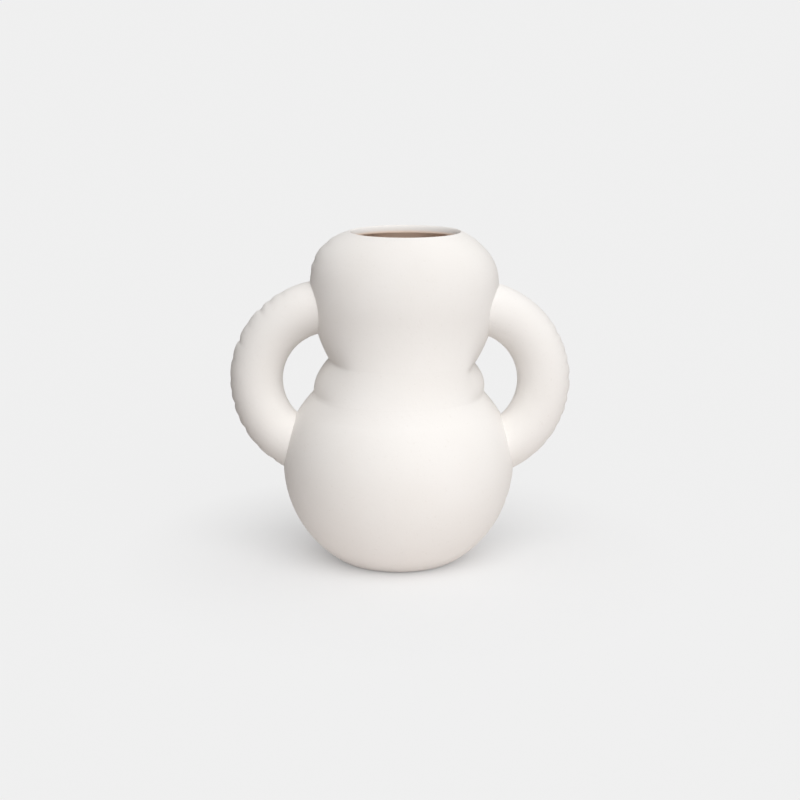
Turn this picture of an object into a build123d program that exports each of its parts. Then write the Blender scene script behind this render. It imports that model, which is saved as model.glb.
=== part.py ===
"""A slip-cast ceramic vase with a pillowy two-bulb body and two fat ring handles.

The body is cast in three sections, stacked and luted with slip: a round lower bulb, a soft roll at the
neck and an upper bulb with an oval mouth. Two hollow handles, arcs of a ring, are luted to the sides.
Every horizontal section of the body is an oval with a half-width along X
and a half-depth along Y. The side outline has creases at the neck and the front outline flows smoothly.

Frame: millimetres, +Z up, +X to the right handle, the front faces -Y, the origin is on the floor under
the middle of the two handles.
"""

from build123d import *
import math
import os

# Walls and layers
wall = 5.0
floor_thickness = 7.0
slip_thickness = 0.8
bond_gap = 0.1
slip_scrape = 0.4
cut_overrun = 4.0

# Lower bulb
lower_half_width = 86.5
lower_half_depth = 80.0
lower_centre_height = 75.0
lower_rise = 80.0
lower_neck_pinch = 23.2
foot_half_width = 43.1
lower_shift = -1.2
foot_ring_width = 9.0
foot_recess = 2.0
foot_round = 5.0

# Neck roll
roll_height = 25.5
roll_bulge = 3.2
neck_round = 6.0

# Upper bulb
upper_half_width = 69.5
upper_half_depth = 50.0
upper_rise = 44.4
shoulder_round_share = 0.42
upper_drop = 92.4
upper_neck_pinch = 14.5
upper_shift = 2.4
front_crown_drop = 16.5
front_waist_drop = 120.0
front_blend = 30.0

# Mouth
mouth_half_width = 39.2
mouth_half_depth = 31.2
mouth_shift = 3.8
lip_width = 2.0
lip_height = 5.5
lip_round = 0.9

# Handles
handle_tube_radius = 19.6
handle_ring_radius = 56.2
handle_centre_offset = 51.0
handle_centre_above_lower = 63.5
handle_start_angle = 80.0
handle_end_angle = 275.0
vent_radius = 2.5
vent_start_angle = 90.0
vent_end_angle = 125.0

# Number of ovals that each skin is drawn through
skin_oval_count = 9
cavity_oval_count = 25


def quarter(share, round_share=0.5):
    """Height of a unit quarter arc at a share of its radius: a circle at 0.5, and squarer below that."""
    return max(0.0, 1.0 - abs(share) ** (1.0 / round_share)) ** round_share


def dome(height, centre, half, rise, drop, round_share=0.5):
    """Half-width of an egg outline at a height: one quarter arc above its centre and an ellipse's below."""
    if height > centre:
        return half * quarter((height - centre) / rise, round_share)
    return half * quarter((height - centre) / drop)


def soft_max(first, second, blend):
    """The larger of two sizes, with a round transition where they differ by less than the blend."""
    share = min(1.0, max(0.0, 0.5 + 0.5 * (first - second) / blend))
    return second + (first - second) * share + blend * share * (1.0 - share)


# Openings of the bulbs at the neck, and how far below its middle the lower bulb would close
lower_opening_half_width = lower_half_width - lower_neck_pinch
upper_opening_half_width = upper_half_width - upper_neck_pinch
lower_drop = lower_centre_height / quarter(foot_half_width / lower_half_width)

# Heights of the stack, from the floor up
lower_joint_height = lower_centre_height + lower_rise * quarter(lower_opening_half_width / lower_half_width)
upper_joint_height = lower_joint_height + roll_height
upper_centre_height = upper_joint_height + upper_drop * quarter(upper_opening_half_width / upper_half_width)
lip_share = (mouth_half_width + lip_width) / upper_half_width
top_height = upper_centre_height + upper_rise * quarter(lip_share, shoulder_round_share)
lip_base_height = top_height - lip_height
front_crown_height = upper_centre_height - front_crown_drop
front_rise = (top_height - front_crown_height) / quarter((mouth_half_depth + lip_width) / upper_half_depth)

# The inside follows the outside at one wall's distance, and meets the mouth below the lip
inner_lower_half_width = lower_half_width - wall
inner_lower_half_depth = lower_half_depth - wall
inner_upper_half_width = upper_half_width - wall
inner_upper_half_depth = upper_half_depth - wall
inner_mouth_arc = quarter(mouth_half_width / inner_upper_half_width, shoulder_round_share)
inner_upper_rise = (lip_base_height - upper_centre_height) / inner_mouth_arc
inner_front_rise = (lip_base_height - front_crown_height) / quarter(mouth_half_depth / inner_upper_half_depth)

handle_centre_height = lower_centre_height + handle_centre_above_lower


def lower_width(height):
    return dome(height, lower_centre_height, lower_half_width, lower_rise, lower_drop)


def upper_width(height):
    return dome(height, upper_centre_height, upper_half_width, upper_rise, upper_drop, shoulder_round_share)


def roll_width(height):
    """A parabola that bulges over the straight line between the two openings of the bulbs."""
    share = (height - lower_joint_height) / roll_height
    straight = lower_opening_half_width + (upper_opening_half_width - lower_opening_half_width) * share
    return straight + 4.0 * roll_bulge * share * (1.0 - share)


def outer_depth(height):
    """The front outline: both bulbs flow into each other with no crease."""
    low = dome(height, lower_centre_height, lower_half_depth, lower_rise, lower_drop)
    high = dome(height, front_crown_height, upper_half_depth, front_rise, front_waist_drop)
    return soft_max(low, high, front_blend)


def inner_width(height):
    low = dome(height, lower_centre_height, inner_lower_half_width, lower_rise - wall, lower_drop - wall)
    middle, half = upper_centre_height, inner_upper_half_width
    high = dome(height, middle, half, inner_upper_rise, upper_drop, shoulder_round_share)
    return soft_max(soft_max(low, roll_width(height) - wall, neck_round), high, neck_round)


def inner_depth(height):
    low = dome(height, lower_centre_height, inner_lower_half_depth, lower_rise - wall, lower_drop - wall)
    high = dome(height, front_crown_height, inner_upper_half_depth, inner_front_rise, front_waist_drop)
    return soft_max(low, high, front_blend)


def centre_shift(height):
    """Sideways shift of the section's middle: the hand-stacked bulbs don't stand exactly over each other."""
    if height <= lower_joint_height:
        return lower_shift
    if height <= upper_joint_height:
        return lower_shift + (upper_shift - lower_shift) * (height - lower_joint_height) / roll_height
    share = (height - upper_joint_height) / (top_height - upper_joint_height)
    return upper_shift + (mouth_shift - upper_shift) * share


def oval(half_width, half_depth, height, shift):
    """A flat oval: a unit circle stretched to its two half-sizes."""
    flat = scale(Circle(1), by=(half_width, half_depth, 1))
    return Pos(shift, 0, height) * flat


def skin(width_at, depth_at, bottom, top, count, grow=0.0):
    """A solid drawn smoothly through ovals between two heights, closer together towards both ends."""
    middle, half = (bottom + top) / 2, (top - bottom) / 2
    ovals = []
    for index in range(count):
        height = middle - half * math.cos(math.pi * index / (count - 1))
        ovals.append(oval(width_at(height) + grow, depth_at(height) + grow, height, centre_shift(height)))
    return loft(ovals)


def lower_outside(grow=0.0):
    return skin(lower_width, outer_depth, 0.0, lower_joint_height - slip_thickness / 2, skin_oval_count, grow)


def roll_outside():
    bottom = lower_joint_height + slip_thickness / 2
    top = upper_joint_height - slip_thickness / 2
    return skin(roll_width, outer_depth, bottom, top, skin_oval_count)


def upper_outside(grow=0.0):
    return skin(upper_width, outer_depth, upper_joint_height + slip_thickness / 2, top_height, skin_oval_count, grow)


def cavity():
    """The space inside, with its flat floor and the straight mouth."""
    room = skin(inner_width, inner_depth, floor_thickness, lip_base_height, cavity_oval_count)
    mouth = oval(mouth_half_width, mouth_half_depth, lip_base_height, centre_shift(lip_base_height))
    return room + extrude(mouth, lip_height + cut_overrun)


def handle_point(side, angle):
    """A point of a handle's centre line, at an angle from the way to the other handle, over the top."""
    turn = math.radians(angle)
    across = handle_centre_offset - handle_ring_radius * math.cos(turn)
    return Vector(side * across, 0, handle_centre_height + handle_ring_radius * math.sin(turn))


def handle_ring(side, radius):
    """A solid arc of a ring that reaches into both bulbs."""
    axis = Axis((side * handle_centre_offset, 0, handle_centre_height), (0, side, 0))
    start = handle_point(side, handle_start_angle)
    outward = start - Vector(side * handle_centre_offset, 0, handle_centre_height)
    end = Plane(origin=start, x_dir=outward, z_dir=Vector(0, side, 0).cross(outward))
    return revolve(end * Circle(radius), axis, handle_end_angle - handle_start_angle)


def vent(side):
    """The hole that lets the air out of a hollow handle in the kiln, high up in the upper bulb's wall."""
    start, end = handle_point(side, vent_start_angle), handle_point(side, vent_end_angle)
    way = end - start
    return extrude(Plane(origin=start, z_dir=way) * Circle(vent_radius), way.length)


def lower_bulb(inside):
    outside = lower_outside()
    rim = outside.edges().sort_by(Axis.Z)[0]
    outside = fillet(rim, foot_round)
    foot_width = lower_width(0.0) - foot_ring_width
    foot_depth = outer_depth(0.0) - foot_ring_width
    recess = extrude(oval(foot_width, foot_depth, 0.0, lower_shift), foot_recess)
    return outside - inside - recess


def neck_roll(inside):
    return roll_outside() - inside


def upper_bulb(inside, vents):
    shell = upper_outside() - inside - vents
    lip_edges = shell.edges().group_by(Axis.Z)[-1]
    return fillet(lip_edges, lip_round)


def joint_slip(height, half_width):
    """The thin layer of slip that bonds two sections of the body, scraped back a little from both faces."""
    bottom, shift = height - slip_thickness / 2 + bond_gap, centre_shift(height)
    ring = oval(half_width - slip_scrape, outer_depth(height) - slip_scrape, bottom, shift)
    hole = oval(inner_width(height) + slip_scrape, inner_depth(height) + slip_scrape, bottom, shift)
    return extrude(ring - hole, slip_thickness - 2 * bond_gap)


def handle_tube(side):
    return handle_ring(side, handle_tube_radius) - handle_ring(side, handle_tube_radius - wall)


def main():
    inside = cavity()
    vents = vent(-1) + vent(1)
    lower_body, upper_body = lower_outside(bond_gap), upper_outside(bond_gap)
    lower_slip, upper_slip = lower_outside(slip_thickness), upper_outside(slip_thickness)
    lower_bed, upper_bed = lower_outside(slip_thickness + bond_gap), upper_outside(slip_thickness + bond_gap)
    nodes = {
        "lower_bulb": lower_bulb(inside),
        "neck_roll": neck_roll(inside),
        "upper_bulb": upper_bulb(inside, vents),
        "lower_neck_slip": joint_slip(lower_joint_height, lower_opening_half_width),
        "upper_neck_slip": joint_slip(upper_joint_height, upper_opening_half_width),
    }
    for name, side in (("left", -1), ("right", 1)):
        tube = handle_tube(side)
        nodes[name + "_handle"] = tube - lower_bed - upper_bed
        nodes[name + "_handle_upper_slip"] = (tube & upper_slip) - upper_body
        nodes[name + "_handle_lower_slip"] = (tube & lower_slip) - lower_body
    os.makedirs("parts", exist_ok=True)
    for name, shape in nodes.items():
        export_step(shape, f"parts/{name}.step")


main()
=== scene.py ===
"""A matte white pillow vase: stacked bulbs, two fat ring handles and their slip seams, on a pale floor."""
import math
from functools import partial

import bpy
import numpy as np
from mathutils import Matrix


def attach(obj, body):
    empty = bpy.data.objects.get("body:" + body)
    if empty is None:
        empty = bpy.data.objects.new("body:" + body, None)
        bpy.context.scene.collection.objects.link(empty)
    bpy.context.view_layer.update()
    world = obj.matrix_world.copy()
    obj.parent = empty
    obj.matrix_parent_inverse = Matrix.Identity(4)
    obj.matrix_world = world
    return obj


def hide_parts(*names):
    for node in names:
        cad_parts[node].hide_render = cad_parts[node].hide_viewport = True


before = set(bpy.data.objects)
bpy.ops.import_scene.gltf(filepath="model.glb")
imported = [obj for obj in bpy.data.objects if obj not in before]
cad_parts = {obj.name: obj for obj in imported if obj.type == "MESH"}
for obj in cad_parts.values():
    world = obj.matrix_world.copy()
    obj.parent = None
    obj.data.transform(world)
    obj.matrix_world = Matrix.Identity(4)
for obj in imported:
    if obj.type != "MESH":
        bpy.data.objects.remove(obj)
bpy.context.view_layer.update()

bl_info = {
    "name": "Pillow Vase",
    "version": (1, 0, 0),
    "blender": (4, 5, 0),
    "location": "View3D > Sidebar > Vase",
    "description": "Builds the skins, seams, finish and stage of a soft two-handled ceramic vase",
    "category": "Object",
}

# Shapes are worked out in millimetres and stored in metres
MM = 0.001

# Outlines of the two bulbs, as in the solids: half-width, half-depth, and reach above and below the centre
LOWER = dict(width=86.5, depth=80.0, centre=75.0, rise=80.0, drop=86.5)
UPPER = dict(width=69.5, depth=50.0, rise=44.4, drop=92.4)
SHOULDER_SHARE, SHOULDER_TILT_SHARE = 0.42, 0.06
FRONT_CROWN_DROP, FRONT_WAIST_DROP = 16.5, 120.0

# Neck: half-widths of its two joints, the roll between them, the heights of its smooth front
JOINT_LOW, JOINT_HIGH = 63.3, 55.0
ROLL_HEIGHT, ROLL_BULGE, ROLL_SLACK_RIGHT = 25.5, 3.2, 6.0
NECK_START, NECK_END = 117.0, 190.0
# Cosines of the way round between which the creases fade in
LEFT_FADE, RIGHT_FADE = (0.5, 0.96), (0.7, 0.98)
# Sideways lean at the two joints and the mouth
LEAN_LOW, LEAN_HIGH, LEAN_MOUTH = -1.2, 2.4, 3.8

# Mouth, walls, slip, foot with the round of its ring's inner edge, and the small discs that close its middle
MOUTH_WIDTH, MOUTH_DEPTH, LIP_WIDTH, LIP_HEIGHT = 39.2, 31.2, 2.0, 5.5
WALL, FLOOR, SLIP, INNER_CREASE = 5.0, 7.0, 0.8, 6.0
FOOT_RING, FOOT_RECESS, FOOT_ROUND, FLOOR_ROUND = 9.0, 2.0, 3.0, 3.0
RING_EDGE, POLE = 1.0, 1.0
# Heights left free beside the lip, and the share of its turn from which the inside's glazing and its painted
# shade start
LIP_GAP_OUTSIDE, LIP_GAP_INSIDE, LIP_LINED_AND_SHADED_SHARE = 0.3, 0.5, 0.7

# Handles: tube and ring radii, the ring's place, and the turns in degrees where its ends are buried and free
TUBE, RING, RING_OFFSET, RING_ABOVE_LOWER = 19.6, 56.2, 51.0, 63.5
HANDLES = (("left_handle", -1), ("right_handle", 1))
UPPER_END, LOWER_END = (80.0, 150.0), (275.0, 200.0)
# How far off the body's skin a handle's slip starts and ends
SLIP_INSIDE, SLIP_OUTSIDE = -0.2, 0.9

# Puckers: height on the body's side or turn along a handle's outer edge, and share of the full depth
LEFT_SIDE_PUCKERS = ((241.0, 1.0), (235.0, 0.4), (229.0, 0.9), (220.0, 0.4))
RIGHT_SIDE_PUCKERS = ((238.0, 0.3), (60.0, 0.3), (50.0, 1.1), (41.0, 0.6), (27.0, 0.9), (18.0, 1.2),
                      (11.0, 0.5))
LEFT_HANDLE_PUCKERS = ((119, 0.4), (127, 0.6), (134, 1.1), (145, 0.4), (156, 1.3), (167, 0.5), (179, 0.4),
                       (186, 0.5), (193, 1.0), (201, 0.6), (209, 1.0), (221, 0.5), (233, 0.8))
RIGHT_HANDLE_PUCKERS = ((143, 0.3), (151, 0.7), (157, 0.5), (163, 0.6), (169, 0.7), (178, 0.9), (188, 0.9),
                        (194, 0.8), (201, 0.8), (207, 0.6), (217, 0.4), (229, 0.3))
# A pucker's reach round a handle's tube in radians, as a multiple of the reach on the body
TUBE_REACH = 4.0

# Rows and points of the grids, steps in height for slopes and normals, and halvings in the search for an end
BULB_ROWS, LOWER_INNER_ROWS, UPPER_INNER_ROWS, ROLL_ROWS, NECK_SLIP_ROWS = 150, 40, 50, 40, 4
LIP_ROWS, ROUND_ROWS, EDGE_ROWS, HANDLE_ROWS, HANDLE_SLIP_ROWS, TUBE_POINTS = 16, 9, 5, 240, 6, 112
SLOPE_STEP, NORMAL_STEP, HALVINGS = 0.5, 0.05, 40

# Clay: size in metres and detail of each noise, pits, tints, stains, relief and roughness
CLOUD, LUMPS, GRAIN, SPECKS = (0.045, 3.0), (0.007, 2.0), (0.0009, 4.0), (0.0022, 1.0)
PIT_LEVEL, PIT_GAIN = 0.66, 3.0
CLOUD_TINT, PIT_TINT = (0.965, 0.955, 0.94), (0.78, 0.74, 0.69)
PIT_STAIN, GRAIN_STAIN = 0.35, 0.06
LUMP_RELIEF, GRAIN_RELIEF, PIT_RELIEF = 0.55, 0.16, 0.3
ROUGH, GRAIN_ROUGH, CLOUD_ROUGH, GLAZE_SMOOTHING, GLOSS = 0.66, 0.14, 0.08, 0.55, 0.2
SLIP_TONE_SHARE = 0.995

# Stage in metres: the floor's reach, and slope and start of its flags, of its glow and of the room's light
FLOOR_REACH = 300.0
LEFT_FLAG, RIGHT_FLAG, GLOW_RAMP = (9.0, 2.3), (-5.0, 3.6), (4.0, 0.12)
ROOM_SLOPE, ROOM_START = (0.35, -0.45, 0.8), 0.15
# Name, share of the key's strength, and spread, tilt and turn in degrees
LAMPS = (("key", 1.0, 60.0, 43.0, 13.0), ("fill", 0.1, 120.0, 10.0, 20.0))
VIEW_SHIFT, VIEW_END = 0.00125, 1000.0


def quarter(share, round_share=0.5):
    """(1 - |s|^(1/k))^k: a quarter circle at k = 1/2, squarer below that, and 0 outside."""
    return np.maximum(0.0, 1.0 - np.abs(share) ** (1.0 / round_share)) ** round_share


def dome(z, centre, half, rise, drop, round_share=0.5):
    """Egg outline: half times quarter((z - centre) / rise) above the centre, and an ellipse below it."""
    u = z - centre
    return half * np.where(u > 0.0, quarter(u / rise, round_share), quarter(u / drop))


def soft_max(p, q, blend):
    """Polynomial smooth maximum: q + (p - q) h + k h (1 - h), with h = 1/2 + (p - q) / 2k kept in 0..1."""
    h = np.clip(0.5 + 0.5 * (p - q) / blend, 0.0, 1.0)
    return q + (p - q) * h + blend * h * (1.0 - h)


def smooth_step(low, high, value):
    """3t^2 - 2t^3 of the share t of the way from low to high."""
    t = np.clip((value - low) / (high - low), 0.0, 1.0)
    return t * t * (3.0 - 2.0 * t)


# Heights where the outlines meet
Z_LOW = LOWER["centre"] + LOWER["rise"] * float(quarter(JOINT_LOW / LOWER["width"]))
Z_HIGH = Z_LOW + ROLL_HEIGHT
Z_CENTRE = Z_HIGH + UPPER["drop"] * float(quarter(JOINT_HIGH / UPPER["width"]))
Z_TOP = Z_CENTRE + UPPER["rise"] * float(quarter((MOUTH_WIDTH + LIP_WIDTH) / UPPER["width"], SHOULDER_SHARE))
Z_LIP = Z_TOP - LIP_HEIGHT
Z_CROWN = Z_CENTRE - FRONT_CROWN_DROP
Z_RING = LOWER["centre"] + RING_ABOVE_LOWER
FRONT_RISE = (Z_TOP - Z_CROWN) / float(quarter((MOUTH_DEPTH + LIP_WIDTH) / UPPER["depth"]))
INNER_RISE = (Z_LIP - Z_CENTRE) / float(quarter(MOUTH_WIDTH / (UPPER["width"] - WALL), SHOULDER_SHARE))
INNER_FRONT_RISE = (Z_LIP - Z_CROWN) / float(quarter(MOUTH_DEPTH / (UPPER["depth"] - WALL)))


def shoulder_rise(top, opening, round_share):
    """Reach above the centre that brings a dome of unit half-width to its opening at the top."""
    return (top - Z_CENTRE) / quarter(opening, round_share)


def lower_dome(half, inset):
    """Outline of the lower bulb for a half-width or half-depth, one inset in."""
    return partial(dome, centre=LOWER["centre"], half=half - inset, rise=LOWER["rise"] - inset,
                   drop=LOWER["drop"] - inset)


def bridge(z, low, high):
    """Cubic Hermite curve over the neck: a (1 - h) + b h + a' t (1 - t)^2 - b' t^2 (1 - t).

    a, b and a', b' are the values and slopes of the two outlines at its ends, and h = 3t^2 - 2t^3.
    """
    length, step = NECK_END - NECK_START, SLOPE_STEP
    t = np.clip((z - NECK_START) / length, 0.0, 1.0)
    slope_low = (low(NECK_START + step) - low(NECK_START - step)) * length / (2.0 * step)
    slope_high = (high(NECK_END + step) - high(NECK_END - step)) * length / (2.0 * step)
    blend = smooth_step(0.0, 1.0, t)
    curve = low(NECK_START) * (1.0 - blend) + high(NECK_END) * blend
    curve = curve + slope_low * t * (1.0 - t) ** 2 - slope_high * t * t * (1.0 - t)
    return np.where(z < NECK_START, low(z), np.where(z > NECK_END, high(z), curve))


def side_outline(z, inset, rise, crease, round_share=SHOULDER_SHARE, slack=0.0):
    """Half-width: smooth maximum of the lower dome, the roll's parabola and the upper dome, an inset in."""
    s = (z - Z_LOW) / ROLL_HEIGHT
    roll = JOINT_LOW + (JOINT_HIGH - JOINT_LOW) * s + 4.0 * ROLL_BULGE * s * (1.0 - s) - inset - slack * s * s
    low = lower_dome(LOWER["width"], inset)(z)
    high = dome(z, Z_CENTRE, UPPER["width"] - inset, rise, UPPER["drop"], round_share)
    return soft_max(soft_max(low, roll, crease), high, crease)


def front_outline(z, inset, rise):
    """Half-depth: the lower dome, a bridge over the neck with no crease, and the upper dome."""
    high = partial(dome, centre=Z_CROWN, half=UPPER["depth"] - inset, rise=rise, drop=FRONT_WAIST_DROP)
    return bridge(z, lower_dome(LOWER["depth"], inset), high)


def lean(z):
    """Sideways place of a section's middle, piecewise linear in the height."""
    return np.interp(z, [Z_LOW, Z_HIGH, Z_TOP], [LEAN_LOW, LEAN_HIGH, LEAN_MOUTH])


def outer_width(z, side, settings):
    """Half-width for the cosine of the way round: creased at the sides only, and squarer at the left."""
    fade = np.where(side < 0.0, smooth_step(*LEFT_FADE, -side), smooth_step(*RIGHT_FADE, side))
    slack = ROLL_SLACK_RIGHT * smooth_step(0.0, 1.0, side)
    k = SHOULDER_SHARE + SHOULDER_TILT_SHARE * side
    rise = shoulder_rise(Z_TOP, (MOUTH_WIDTH + LIP_WIDTH) / UPPER["width"], k)
    creased = side_outline(z, 0.0, rise, settings.crease / MM, k, slack)
    high = partial(dome, centre=Z_CENTRE, half=UPPER["width"], rise=rise, drop=UPPER["drop"], round_share=k)
    full = bridge(z, lower_dome(LOWER["width"], 0.0), high)
    return full + (creased - full) * fade


def outer_depth(z):
    """Half-depth of the outer skin."""
    return front_outline(z, 0.0, FRONT_RISE)


def notches(place, table, width):
    """Sum of bell notches d exp(-((s - s0) / w)^2), one for each (s0, d) of the table."""
    return sum(depth * np.exp(-np.square((place - middle) / width)) for middle, depth in table)


def ovals(width, depth, z, around):
    """Closed rows (m + w cos f, d sin f, z), where m leans with the height."""
    f = np.linspace(0.0, 2.0 * np.pi, around, endpoint=False)
    w, d, z = (np.asarray(v, float)[:, None] for v in (width, depth, z))
    return np.stack([lean(z) + w * np.cos(f), d * np.sin(f), z + 0.0 * f], axis=-1)


def outer_skin(z, settings):
    """Outer skin P(z, f): ovals of the faded half-width, pulled in by the puckers along the side seams."""
    f = np.linspace(0.0, 2.0 * np.pi, settings.around, endpoint=False)
    p = ovals(np.ones_like(z), outer_depth(z), z, settings.around)
    p[..., 0] = lean(z)[:, None] + outer_width(z[:, None], np.cos(f), settings) * np.cos(f)
    width, depth = settings.pucker_width / MM, settings.pucker_depth / MM
    left = np.exp(-np.square(np.cos(f / 2.0) / settings.pucker_reach))
    right = np.exp(-np.square(np.sin(f / 2.0) / settings.pucker_reach))
    p[..., 0] += depth * left * notches(z, LEFT_SIDE_PUCKERS, width)[:, None]
    p[..., 0] -= depth * right * notches(z, RIGHT_SIDE_PUCKERS, width)[:, None]
    return p


def inner_skin(z, settings):
    """Inner skin: the ovals one wall further in, with rounder creases."""
    width = side_outline(z, WALL, INNER_RISE, INNER_CREASE)
    return ovals(width, front_outline(z, WALL, INNER_FRONT_RISE), z, settings.around)


def unit(n):
    """Vectors brought to length 1."""
    return n / np.maximum(np.linalg.norm(n, axis=-1, keepdims=True), 1e-12)


def grid_normals(p, closed_rows):
    """Unit normals dP/dcolumn x dP/drow of a grid whose columns are closed."""
    across = np.roll(p, -1, 1) - np.roll(p, 1, 1)
    along = np.roll(p, -1, 0) - np.roll(p, 1, 0) if closed_rows else np.gradient(p, axis=0)
    return unit(np.cross(across, along))


def skin_rows(z, skin, settings):
    """Points of a skin and normals dP/df x dP/dz by central differences, so stacked pieces shade as one."""
    p = skin(z, settings)
    rise = skin(z + NORMAL_STEP, settings) - skin(z - NORMAL_STEP, settings)
    return p, unit(np.cross(np.roll(p, -1, 1) - np.roll(p, 1, 1), rise))


def spread(low, high, count):
    """Heights between two limits, closer together at both ends: middle - half cos(pi t)."""
    return (low + high) / 2.0 - (high - low) / 2.0 * np.cos(np.linspace(0.0, np.pi, count))


def bend(first, corner, last, count):
    """Quadratic curve (1 - t)^2 a + 2 t (1 - t) b + t^2 c of (radius, height) points."""
    t = np.linspace(0.0, 1.0, count)[:, None]
    a, b, c = (np.array(v, float) for v in (first, corner, last))
    return a * (1.0 - t) ** 2 + 2.0 * b * t * (1.0 - t) + c * t * t


def grid_faces(rows, columns, closed_rows):
    """Quads of a grid with closed columns, and a cap at each end where the rows aren't closed."""
    index = np.arange(rows * columns).reshape(rows, columns)
    down = np.roll(index, -1, 0)
    quads = np.stack([index, np.roll(index, -1, 1), np.roll(down, -1, 1), down], axis=-1)
    if closed_rows:
        return quads.reshape(-1, 4).tolist()
    return quads[:-1].reshape(-1, 4).tolist() + [index[0, ::-1].tolist(), index[-1].tolist()]


def make_piece(name, p, normals, closed_rows, lined_and_shaded, material):
    """One object at the origin from a grid in millimetres, with the share of inside glazing and painted shade
    for each row.
    """
    rows, columns = p.shape[:2]
    mesh = bpy.data.meshes.new(name)
    mesh.from_pydata((p.reshape(-1, 3) * MM).tolist(), [], grid_faces(rows, columns, closed_rows))
    mesh.polygons.foreach_set("use_smooth", np.ones(len(mesh.polygons), bool))
    share = np.repeat(np.asarray(lined_and_shaded, np.float32), columns)
    mesh.attributes.new("lined_and_shaded", "FLOAT", "POINT").data.foreach_set("value", share)
    mesh.materials.append(material)
    mesh.update()
    mesh.normals_split_custom_set_from_vertices(normals.reshape(-1, 3).tolist())
    piece = bpy.data.objects.new(name, mesh)
    bpy.context.scene.collection.objects.link(piece)
    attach(piece, "root")
    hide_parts(name)


def make_band(name, low, high, count, material, settings):
    """A ring of the body between two heights: outer skin up, inner skin down."""
    p, n = skin_rows(np.linspace(low, high, count), outer_skin, settings)
    q, m = skin_rows(np.linspace(high, low, max(2, count // 3)), inner_skin, settings)
    lined_and_shaded = np.repeat([0.0, 1.0], [len(p), len(q)])
    make_piece(name, np.concatenate([p, q]), np.concatenate([n, -m]), True, lined_and_shaded, material)


class Value:
    """A shader socket that adds, subtracts and multiplies with numbers and with other sockets."""

    def __init__(self, graph, socket):
        self.graph, self.socket = graph, socket

    def of(self, output):
        """Another output of the same node."""
        return Value(self.graph, self.socket.node.outputs[output])

    def math(self, operation, first, second):
        """A Math node on two values."""
        return self.graph.node("ShaderNodeMath", {"operation": operation}, {0: first, 1: second})

    def __add__(self, other):
        return self.math("ADD", self, other)

    def __radd__(self, other):
        return self.math("ADD", other, self)

    def __sub__(self, other):
        return self.math("SUBTRACT", self, other)

    def __rsub__(self, other):
        return self.math("SUBTRACT", other, self)

    def __mul__(self, other):
        return self.math("MULTIPLY", self, other)

    def __rmul__(self, other):
        return self.math("MULTIPLY", other, self)

    def above(self, other):
        """The larger of two values."""
        return self.math("MAXIMUM", self, other)

    def ramp(self, slope, start):
        """Slope times this value plus a start, kept in 0..1."""
        return (self * slope + start).clamped()

    def clamped(self):
        """This value kept in 0..1."""
        return self.math("MINIMUM", self.above(0.0), 1.0)

    def mix(self, first, second):
        """Colour from the first to the second as this value goes from 0 to 1."""
        inputs = {0: self, 6: first, 7: second}
        return self.graph.node("ShaderNodeMix", {"data_type": "RGBA"}, inputs, 2)


class Graph:
    """A node tree in which every node comes from one method."""

    def __init__(self, tree):
        self.tree = tree

    def node(self, kind, settings=None, inputs=None, output=0):
        """A new node: its settings are set first, then the values or links of its sockets."""
        node = self.tree.nodes.new(kind)
        for name, value in (settings or {}).items():
            setattr(node, name, value)
        self.feed(node, inputs or {})
        return Value(self, node.outputs[output])

    def feed(self, node, inputs):
        """Sets or links sockets of a node by name or place."""
        for name, value in inputs.items():
            if isinstance(value, Value):
                self.tree.links.new(value.socket, node.inputs[name])
            else:
                node.inputs[name].default_value = value

    def seen(self):
        """1 for rays that show the background, straight or in a gloss or glass, and 0 for rays that light."""
        path = self.node("ShaderNodeLightPath", output="Is Camera Ray")
        return path.above(path.of("Is Glossy Ray")).above(path.of("Is Transmission Ray"))

    def noise(self, place, size, detail):
        """Fractal noise in 0..1 whose features are about size metres across."""
        return self.node("ShaderNodeTexNoise", None, {"Vector": place, "Scale": 1.0 / size, "Detail": detail})


def rgba(colour, *shares):
    """A colour with alpha 1, multiplied channel by channel by any number of other colours."""
    return (*np.prod([colour, *shares], axis=0).tolist(), 1.0)


def new_material(name):
    """A material with nodes, its graph and its main shader."""
    material = bpy.data.materials.new(name)
    material.use_nodes = True
    return material, Graph(material.node_tree), material.node_tree.nodes["Principled BSDF"]


def fired_clay(name, settings, tone_share=1.0):
    """Matte warm white fired clay: cloudy tone, fine grain, tiny pits, and on the inside a smoother glazing
    whose colour is darkened and warmed as painted shade.
    """
    made = bpy.data.materials.get(name)
    if made:
        return made
    material, graph, shader = new_material(name)
    place = graph.node("ShaderNodeTexCoord", output="Object")
    cloud, lumps, grain, specks = (graph.noise(place, *scale) for scale in (CLOUD, LUMPS, GRAIN, SPECKS))
    pits = (specks - PIT_LEVEL).above(0.0) * PIT_GAIN
    glaze_and_shade = graph.node("ShaderNodeAttribute", {"attribute_name": "lined_and_shaded"}, output="Fac")
    clay = [channel * tone_share for channel in settings.clay]
    tone = cloud.mix(rgba(clay), rgba(clay, CLOUD_TINT))
    tone = (pits * PIT_STAIN + grain * GRAIN_STAIN).mix(tone, rgba(clay, PIT_TINT))
    height = lumps * LUMP_RELIEF + grain * GRAIN_RELIEF - pits * PIT_RELIEF
    relief = {"Strength": settings.grain, "Distance": settings.grain_height, "Height": height}
    graph.feed(shader, {
        # Painted shade on the inside: its darkened warm colour stands for the shade in the hollow, while the
        # same mask smooths the glazing's roughness.
        "Base Color": glaze_and_shade.mix(tone, rgba(settings.lining_shade)),
        "Roughness": (grain * GRAIN_ROUGH + cloud * CLOUD_ROUGH + ROUGH) * (1.0 - glaze_and_shade * GLAZE_SMOOTHING),
        "Specular IOR Level": GLOSS,
        "Normal": graph.node("ShaderNodeBump", None, relief),
    })
    return material


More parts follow.
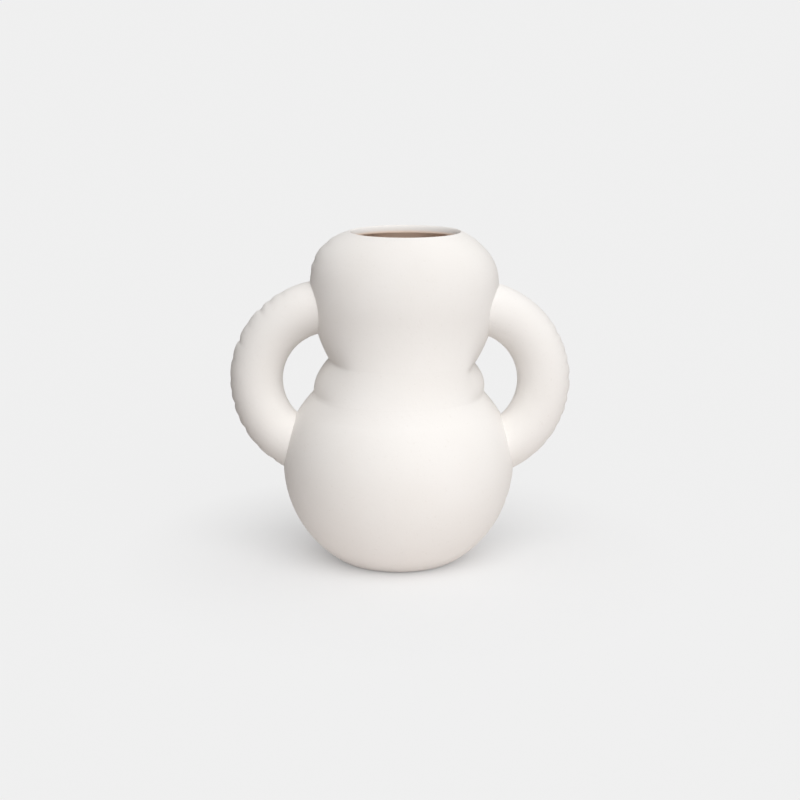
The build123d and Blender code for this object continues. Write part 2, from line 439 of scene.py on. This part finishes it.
class VaseSettings(bpy.types.PropertyGroup):
    """Looks of the vase that the solids leave open"""

    around: bpy.props.IntProperty(
        name="Points around", description="Points in each oval of the body", default=288, min=48)
    crease: bpy.props.FloatProperty(
        name="Crease", description="Roundness of the neck's creases at the sides",
        default=0.0022, min=0.0002, unit="LENGTH")
    pucker_depth: bpy.props.FloatProperty(
        name="Pucker depth", description="Depth of a full pucker in a side seam",
        default=0.0011, min=0.0, unit="LENGTH")
    pucker_width: bpy.props.FloatProperty(
        name="Pucker width", description="Half the width of a pucker along its seam",
        default=0.0027, min=0.0005, unit="LENGTH")
    pucker_reach: bpy.props.FloatProperty(
        name="Pucker reach", description="How far a pucker runs from its seam, as a share of the way round",
        default=0.12, min=0.02, subtype="FACTOR")
    grain: bpy.props.FloatProperty(
        name="Grain", description="Strength of the clay's fine relief", default=0.35, min=0.0, max=1.0,
        subtype="FACTOR")
    grain_height: bpy.props.FloatProperty(
        name="Grain height", description="Height of the clay's fine relief",
        default=0.0006, min=0.0, unit="LENGTH")
    clay: bpy.props.FloatVectorProperty(
        name="Clay", description="Colour of the bare outside", subtype="COLOR", default=(0.855, 0.838, 0.82))
    # Painted shade: the inside's colour is darkened and warmed to stand for the shade and warm bounce light
    # in the hollow, over its smoother glazing.
    lining_shade: bpy.props.FloatVectorProperty(
        name="Lining shade", description="Colour of the glazed inside", subtype="COLOR", default=(0.87, 0.7, 0.58))


class StageSettings(bpy.types.PropertyGroup):
    """Camera, lights and floor"""

    distance: bpy.props.FloatProperty(
        name="Distance", description="From the camera to the point it looks at",
        default=1.2375, unit="LENGTH")
    elevation: bpy.props.FloatProperty(
        name="Elevation", description="Angle from which the camera looks down",
        default=math.radians(14.0), unit="ROTATION")
    target: bpy.props.FloatProperty(
        name="Target", description="Height of the point looked at", default=0.122, unit="LENGTH")
    focal: bpy.props.FloatProperty(
        name="Focal length", description="Focal length as a share of the image's side", default=2.0625)
    floor: bpy.props.FloatVectorProperty(
        name="Floor", description="Colour of the floor as it is seen",
        subtype="COLOR", default=(0.825, 0.827, 0.83))
    glow: bpy.props.FloatProperty(
        name="Glow", description="Share of the seen floor that no shadow reaches, far from the vase",
        default=0.9, min=0.0, max=1.0, subtype="FACTOR")
    pale: bpy.props.FloatProperty(
        name="Pale", description="Brightness of the background as it is seen",
        default=0.876, min=0.0, max=1.0, subtype="FACTOR")
    bounce: bpy.props.FloatVectorProperty(
        name="Bounce", description="Colour that the floor throws back",
        subtype="COLOR", default=(0.86, 0.82, 0.80))
    flag: bpy.props.FloatVectorProperty(
        name="Flag", description="Colour of the dim side of the room and of the floor far out at the sides",
        subtype="COLOR", default=(0.1, 0.075, 0.06))
    room: bpy.props.FloatProperty(
        name="Room", description="Strength of the light from all round", default=0.72)
    key: bpy.props.FloatProperty(
        name="Key", description="Strength of the wide soft light from in front", default=1.72)


class VASE_OT_lower_bulb(bpy.types.Operator):
    """Builds the lower bulb: foot recess and ring, rounded edge, belly, joint face, inside and floor"""

    bl_idname = "vase.lower_bulb"
    bl_label = "Lower bulb"

    def execute(self, context):
        settings = context.scene.vase
        top = Z_LOW - SLIP / 2.0
        foot = float(side_outline(0.0, 0.0, UPPER["rise"], settings.crease / MM))
        edge = float(side_outline(FOOT_ROUND, 0.0, UPPER["rise"], settings.crease / MM))
        ring = foot - FOOT_RING
        under = np.concatenate([
            [[POLE, FOOT_RECESS]],
            bend((ring - RING_EDGE, FOOT_RECESS), (ring, FOOT_RECESS), (ring, FOOT_RECESS / 2.0), EDGE_ROWS),
            bend((ring, FOOT_RECESS / 3.0), (ring, 0.0), (ring + RING_EDGE, 0.0), EDGE_ROWS),
            bend((foot - FOOT_ROUND, 0.0), (foot, 0.0), (edge, FOOT_ROUND), ROUND_ROWS)[:-1]])
        base = ovals(under[:, 0], under[:, 0] * float(outer_depth(0.0)) / foot, under[:, 1], settings.around)
        p, n = skin_rows(spread(FOOT_ROUND, top, BULB_ROWS), outer_skin, settings)
        low = FLOOR + FLOOR_ROUND
        q, m = skin_rows(spread(top, low, LOWER_INNER_ROWS), inner_skin, settings)
        inner = float(side_outline(low, WALL, INNER_RISE, INNER_CREASE))
        deep = float(front_outline(low, WALL, INNER_FRONT_RISE))
        inward = inner - FLOOR_ROUND, inner - 3.0 * FLOOR_ROUND
        flat = bend((inner, low), (inward[0], FLOOR), (inward[1], FLOOR), ROUND_ROWS)[1:]
        flat = np.concatenate([flat, [[inner / 2.0, FLOOR], [POLE, FLOOR]]])
        ground = ovals(flat[:, 0], flat[:, 0] * deep / inner, flat[:, 1], settings.around)
        points = np.concatenate([base, p, q, ground])
        normals = grid_normals(points, False)
        outer = len(base) + len(p)
        normals[len(base):outer] = n
        normals[outer:outer + len(q)] = -m
        lined_and_shaded = np.repeat([0.0, 1.0], [outer, len(points) - outer])
        make_piece("lower_bulb", points, normals, False, lined_and_shaded, fired_clay("fired_clay", settings))
        return {"FINISHED"}


class VASE_OT_neck_roll(bpy.types.Operator):
    """Builds the roll of the neck, between its two layers of slip"""

    bl_idname = "vase.neck_roll"
    bl_label = "Neck roll"

    def execute(self, context):
        settings = context.scene.vase
        clay = fired_clay("fired_clay", settings)
        low, high = Z_LOW + SLIP / 2.0, Z_HIGH - SLIP / 2.0
        make_band("neck_roll", low, high, ROLL_ROWS, clay, settings)
        return {"FINISHED"}


class VASE_OT_upper_bulb(bpy.types.Operator):
    """Builds the upper bulb: body, shoulder, lip rounded as a quarter of an ellipse, and inside"""

    bl_idname = "vase.upper_bulb"
    bl_label = "Upper bulb"

    def execute(self, context):
        settings = context.scene.vase
        low = Z_HIGH + SLIP / 2.0
        p, n = skin_rows(spread(low, Z_TOP - LIP_GAP_OUTSIDE, BULB_ROWS), outer_skin, settings)
        turn = np.linspace(0.0, np.pi / 2.0, LIP_ROWS)
        inset, z = LIP_WIDTH * (1.0 - np.sin(turn)), Z_TOP - LIP_HEIGHT * (1.0 - np.cos(turn))
        lip = ovals(MOUTH_WIDTH + inset, MOUTH_DEPTH + inset, z, settings.around)
        q, m = skin_rows(spread(Z_LIP - LIP_GAP_INSIDE, low, UPPER_INNER_ROWS), inner_skin, settings)
        points = np.concatenate([p, lip, q])
        normals = grid_normals(points, True)
        normals[:len(p)] = n
        normals[-len(q):] = -m
        # The inside's painted shade and glazing fade in over the last part of the lip's turn.
        into_lip = smooth_step(LIP_LINED_AND_SHADED_SHARE, 1.0, turn * 2.0 / np.pi)
        lined_and_shaded = np.concatenate([np.zeros(len(p)), into_lip, np.ones(len(q))])
        make_piece("upper_bulb", points, normals, True, lined_and_shaded, fired_clay("fired_clay", settings))
        return {"FINISHED"}


def tube_point(side, turn, around, radius, settings):
    """Ring tube: (R + r cos q) (cos t, sin t) across and up, r sin q in depth, puckered at q = 0."""
    table = LEFT_HANDLE_PUCKERS if side < 0 else RIGHT_HANDLE_PUCKERS
    width = math.degrees(settings.pucker_width / MM / (RING + TUBE))
    off_seam = np.arctan2(np.sin(around), np.cos(around))
    seam = np.exp(-np.square(off_seam / (settings.pucker_reach * TUBE_REACH)))
    depth = settings.pucker_depth / MM * seam * notches(np.degrees(turn), table, width)
    r = radius - (depth if radius == TUBE else 0.0)
    reach = RING + r * np.cos(around)
    x = side * (RING_OFFSET - reach * np.cos(turn))
    return np.stack([x, r * np.sin(around), Z_RING + reach * np.sin(turn)], axis=-1)


def clearance(p, grow, settings):
    """Oval test ((x - m) / (w + g))^2 + (y / (d + g))^2 - 1: below 0 inside the body grown by g."""
    x, y, z = p[..., 0] - lean(p[..., 2]), p[..., 1], p[..., 2]
    deep = outer_depth(z) + grow
    wide = side_outline(z, 0.0, UPPER["rise"], settings.crease / MM)
    wide = outer_width(z, np.cos(np.arctan2(y / deep, x / wide)), settings) + grow
    return np.square(x / wide) + np.square(y / deep) - 1.0


def trim(side, around, radius, end, grow, settings):
    """Turn where a ring's tube leaves the body grown by g, by halving the range for every q at once."""
    low, high = (np.full_like(around, math.radians(turn)) for turn in end)
    for _ in range(HALVINGS):
        middle = (low + high) / 2.0
        out = clearance(tube_point(side, middle, around, radius, settings), grow, settings) > 0.0
        low, high = np.where(out, low, middle), np.where(out, middle, high)
    return (low + high) / 2.0


def make_tube(name, side, start, end, count, material, slot, settings):
    """Hollow stretch of a ring between two trimmed ends, each given as its range of turns and its growth."""
    around = np.linspace(0.0, 2.0 * np.pi, TUBE_POINTS, endpoint=False)
    rows = []
    there = np.linspace(0.0, 1.0, count)
    for radius, steps in ((TUBE, there), (TUBE - WALL, there[::-1])):
        first, last = (trim(side, around, radius, *limit, settings) for limit in (start, end))
        turn = first + (last - first) * steps[:, None]
        rows.append(tube_point(side, turn, around + 0.0 * turn, radius, settings))
    normals = np.concatenate([grid_normals(row, False) for row in rows])
    points = np.concatenate(rows)
    hub = (points - (side * RING_OFFSET, 0.0, Z_RING)) * (1.0, 0.0, 1.0)
    spoke = points - (side * RING_OFFSET, 0.0, Z_RING) - unit(hub) * RING
    if np.sum(normals[:count] * spoke[:count]) < 0.0:
        points, normals = points[:, ::-1], -normals[:, ::-1]
    make_piece(name, points, normals, True, np.zeros(len(points)), material)


class VASE_OT_handles(bpy.types.Operator):
    """Builds the two hollow ring handles, trimmed on the body's skin"""

    bl_idname = "vase.handles"
    bl_label = "Handles"

    def execute(self, context):
        settings = context.scene.vase
        clay = fired_clay("fired_clay", settings)
        for name, side in HANDLES:
            ends = (UPPER_END, SLIP_OUTSIDE), (LOWER_END, SLIP_OUTSIDE)
            make_tube(name, side, *ends, HANDLE_ROWS, clay, "bisque", settings)
        return {"FINISHED"}


class VASE_OT_slip_seams(bpy.types.Operator):
    """Builds the slip seams: two rings at the neck and a saddle at each end of the handles"""

    bl_idname = "vase.slip_seams"
    bl_label = "Slip seams"

    def execute(self, context):
        settings = context.scene.vase
        slip = fired_clay("fired_slip", settings, SLIP_TONE_SHARE)
        for name, z in (("lower_neck_slip", Z_LOW), ("upper_neck_slip", Z_HIGH)):
            make_band(name, z - SLIP / 2.0, z + SLIP / 2.0, NECK_SLIP_ROWS, slip, settings)
        for name, side in HANDLES:
            for end, limit in (("upper", UPPER_END), ("lower", LOWER_END)):
                faces = (limit, SLIP_INSIDE), (limit, SLIP_OUTSIDE)
                make_tube(f"{name}_{end}_slip", side, *faces, HANDLE_SLIP_ROWS, slip, "slip", settings)
        return {"FINISHED"}


class VASE_OT_stage(bpy.types.Operator):
    """Sets the floor, the soft light and the camera"""

    bl_idname = "vase.stage"
    bl_label = "Stage"

    def execute(self, context):
        settings = context.scene.vase_stage
        self.floor(settings)
        self.light(settings)
        self.camera(settings)
        context.scene.view_settings.view_transform = "Standard"
        return {"FINISHED"}

    def floor(self, settings):
        """A plain matte floor that runs to the horizon and throws back less light far out at the sides."""
        corners = np.array([(-1, -1, 0), (1, -1, 0), (1, 1, 0), (-1, 1, 0)]) * FLOOR_REACH
        mesh = bpy.data.meshes.new("floor")
        mesh.from_pydata(corners.tolist(), [], [(0, 1, 2, 3)])
        material, graph, shader = new_material("floor")
        seen = graph.seen()
        place = graph.node("ShaderNodeTexCoord", output="Object")
        across = graph.node("ShaderNodeSeparateXYZ", None, {0: place}, "X")
        clear = across.ramp(*LEFT_FLAG) * across.ramp(*RIGHT_FLAG)
        bounce = clear.mix(rgba(settings.flag), rgba(settings.bounce))
        colour = seen.mix(bounce, rgba(settings.floor))
        graph.feed(shader, {"Base Color": colour, "Roughness": 1.0, "Specular IOR Level": 0.0})
        pale = rgba([settings.pale] * 3)
        glow = graph.node("ShaderNodeEmission", None, {"Color": pale, "Strength": 1.0})
        away = graph.node("ShaderNodeVectorMath", {"operation": "LENGTH"}, {0: place}, "Value")
        share = away.ramp(*GLOW_RAMP) * settings.glow * seen
        plain_floor = Value(graph, shader.outputs["BSDF"])
        surface = graph.node("ShaderNodeMixShader", None, {0: share, 1: plain_floor, 2: glow})
        graph.feed(material.node_tree.nodes["Material Output"], {"Surface": surface})
        mesh.materials.append(material)
        floor = bpy.data.objects.new("floor", mesh)
        bpy.context.scene.collection.objects.link(floor)

    def light(self, settings):
        """A room that is dim low at the left and behind, a wide soft key in front and a fill from above."""
        world = bpy.data.worlds.new("room")
        world.use_nodes = True
        graph = Graph(world.node_tree)
        place = graph.node("ShaderNodeTexCoord", output="Generated")
        x = graph.node("ShaderNodeSeparateXYZ", None, {0: place}, "X")
        across, back, up = ROOM_SLOPE
        share = (x * across + x.of("Y") * back + x.of("Z") * up + ROOM_START).clamped()
        bright = [settings.room] * 3
        lit = share.mix(rgba(settings.flag, bright), rgba(bright))
        colour = graph.seen().mix(lit, rgba([settings.pale] * 3))
        graph.feed(world.node_tree.nodes["Background"], {"Color": colour})
        bpy.context.scene.world = world
        for name, share, angle, tilt, turn in LAMPS:
            lamp = bpy.data.lights.new(name, "SUN")
            lamp.energy = settings.key * share
            lamp.angle = math.radians(angle)
            obj = bpy.data.objects.new(name, lamp)
            obj.rotation_euler = (math.radians(tilt), 0.0, math.radians(turn))
            bpy.context.scene.collection.objects.link(obj)

    def camera(self, settings):
        """Pinhole in front of the vase: target + d (0, -cos e, sin e), looking down at the elevation e."""
        data = bpy.data.cameras.new("camera")
        data.lens = data.sensor_width * settings.focal
        data.clip_end = VIEW_END
        data.shift_y = VIEW_SHIFT
        camera = bpy.data.objects.new("camera", data)
        rise = settings.distance * math.sin(settings.elevation)
        camera.location = (0.0, -settings.distance * math.cos(settings.elevation), settings.target + rise)
        camera.rotation_euler = (math.pi / 2.0 - settings.elevation, 0.0, 0.0)
        bpy.context.scene.collection.objects.link(camera)
        bpy.context.scene.camera = camera


OPERATORS = (VASE_OT_lower_bulb, VASE_OT_neck_roll, VASE_OT_upper_bulb, VASE_OT_handles, VASE_OT_slip_seams,
             VASE_OT_stage)


class VASE_PT_panel(bpy.types.Panel):
    """Settings and buttons of the vase"""

    bl_idname = "VASE_PT_panel"
    bl_label = "Pillow Vase"
    bl_space_type = "VIEW_3D"
    bl_region_type = "UI"
    bl_category = "Vase"

    def draw(self, context):
        for group in (context.scene.vase, context.scene.vase_stage):
            for name in group.__annotations__:
                self.layout.prop(group, name)
        for operator in OPERATORS:
            self.layout.operator(operator.bl_idname)


CLASSES = (VaseSettings, StageSettings, *OPERATORS, VASE_PT_panel)


def register():
    """Adds the classes and the settings to Blender."""
    for cls in CLASSES:
        bpy.utils.register_class(cls)
    bpy.types.Scene.vase = bpy.props.PointerProperty(type=VaseSettings)
    bpy.types.Scene.vase_stage = bpy.props.PointerProperty(type=StageSettings)


def unregister():
    """Removes what register adds."""
    del bpy.types.Scene.vase_stage, bpy.types.Scene.vase
    for cls in reversed(CLASSES):
        bpy.utils.unregister_class(cls)


def main():
    """Builds the pieces and the stage."""
    register()
    bpy.ops.vase.lower_bulb()
    bpy.ops.vase.neck_roll()
    bpy.ops.vase.upper_bulb()
    bpy.ops.vase.handles()
    bpy.ops.vase.slip_seams()
    bpy.ops.vase.stage()


if __name__ == "__main__":
    main()
